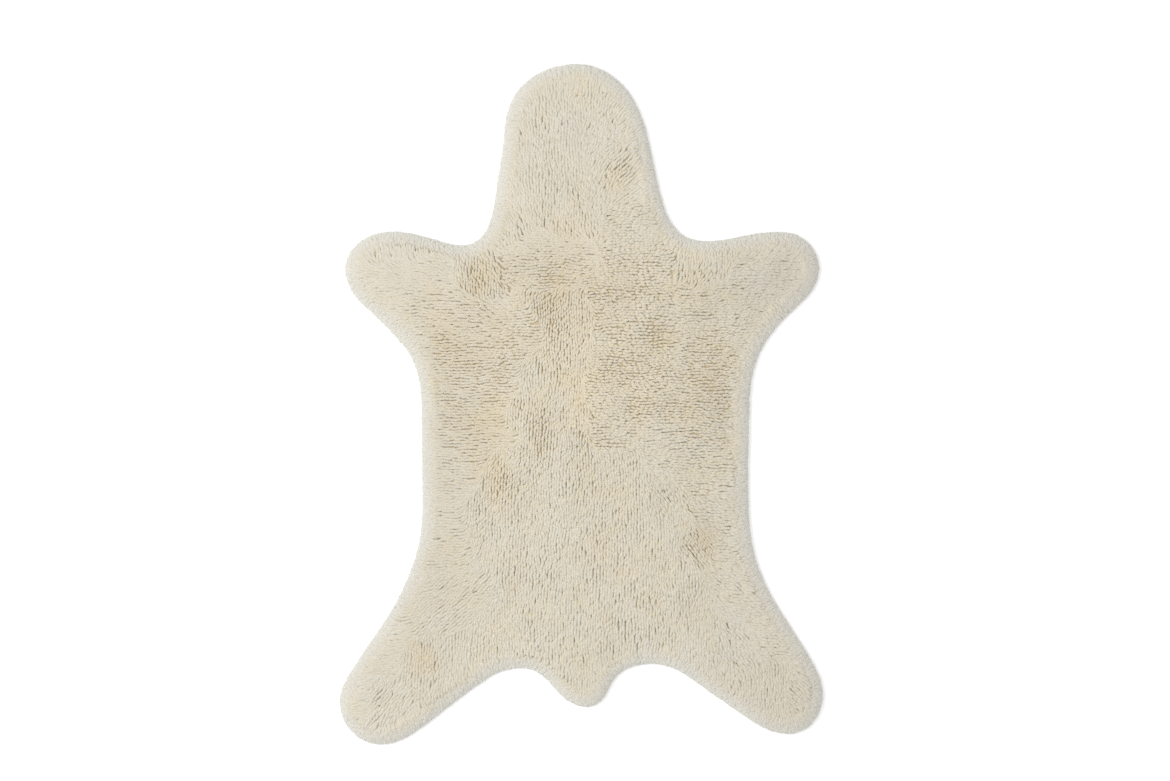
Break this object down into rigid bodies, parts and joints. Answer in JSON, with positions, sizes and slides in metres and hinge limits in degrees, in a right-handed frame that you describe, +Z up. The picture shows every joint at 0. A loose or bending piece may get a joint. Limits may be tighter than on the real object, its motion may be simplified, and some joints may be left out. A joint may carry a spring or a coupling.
{
  "type": "bear shaped wool rug",
  "caption": "Flat wool pile rug for a child's room, cut to a bear pelt outline with head, paws and tail.",
  "frame": {"origin": "on the floor under the middle of the rug's box", "axes": "+Y from the tail towards the head, +X towards the right paws as seen from above with the head up, +Z up out of the floor"},
  "size_m": [1.0118, 1.4186, 0.027],
  "materials": {
    "wool_pile": "ecru wool pile, soft and matte"
  },
  "bodies": {
    "root": {"pile_rug": "wool_pile"}
  },
  "joints": []
}
